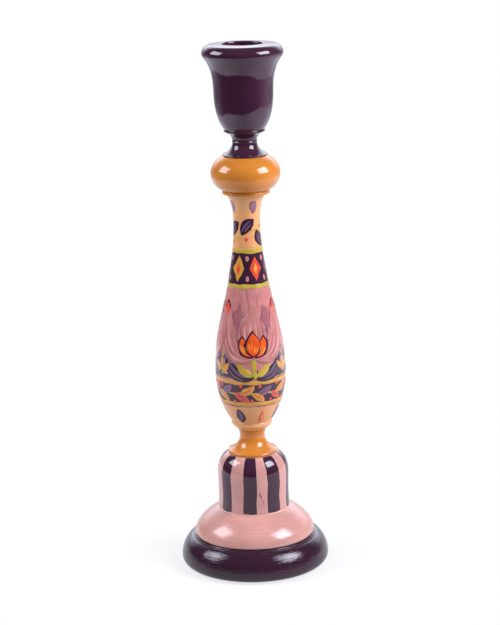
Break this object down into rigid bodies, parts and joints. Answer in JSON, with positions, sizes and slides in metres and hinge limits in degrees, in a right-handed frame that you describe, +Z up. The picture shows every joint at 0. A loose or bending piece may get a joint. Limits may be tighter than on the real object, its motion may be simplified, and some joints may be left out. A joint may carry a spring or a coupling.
{
  "type": "candlestick",
  "caption": "Turned and painted wooden candlestick: a flared cup with a socket for a dinner candle, on a vase-shaped stem and a stepped round base.",
  "frame": {"origin": "on the stick's axis, on the face of the felt pad that rests on the table", "axes": "+Z up along the stick's axis, out of the candle socket; the piece is round about it, and -Y is the side that the picture shows"},
  "size_m": [0.084, 0.084, 0.296],
  "materials": {
    "aubergine_enamel": "gloss paint on turned beech",
    "pink_enamel": "gloss paint on turned beech",
    "striped_enamel": "gloss paint on turned beech, with upright stripes",
    "ochre_enamel": "gloss paint on turned beech",
    "peach_enamel": "gloss paint on turned beech, with hand-painted decoration",
    "bare_beech": "bare fluted dowel",
    "zinc_steel": "bright zinc plate",
    "felt": "pressed felt"
  },
  "bodies": {
    "root": {"felt_pad": "felt", "base_plinth": "aubergine_enamel", "base_cushion": "pink_enamel", "striped_dome": "striped_enamel", "lower_collar": "ochre_enamel", "baluster_stem": "peach_enamel", "upper_knop": "ochre_enamel", "candle_cup": "aubergine_enamel", "stem_dowel": "bare_beech", "cup_dowel": "bare_beech", "base_screw": "zinc_steel", "screw_washer": "zinc_steel"}
  },
  "joints": []
}
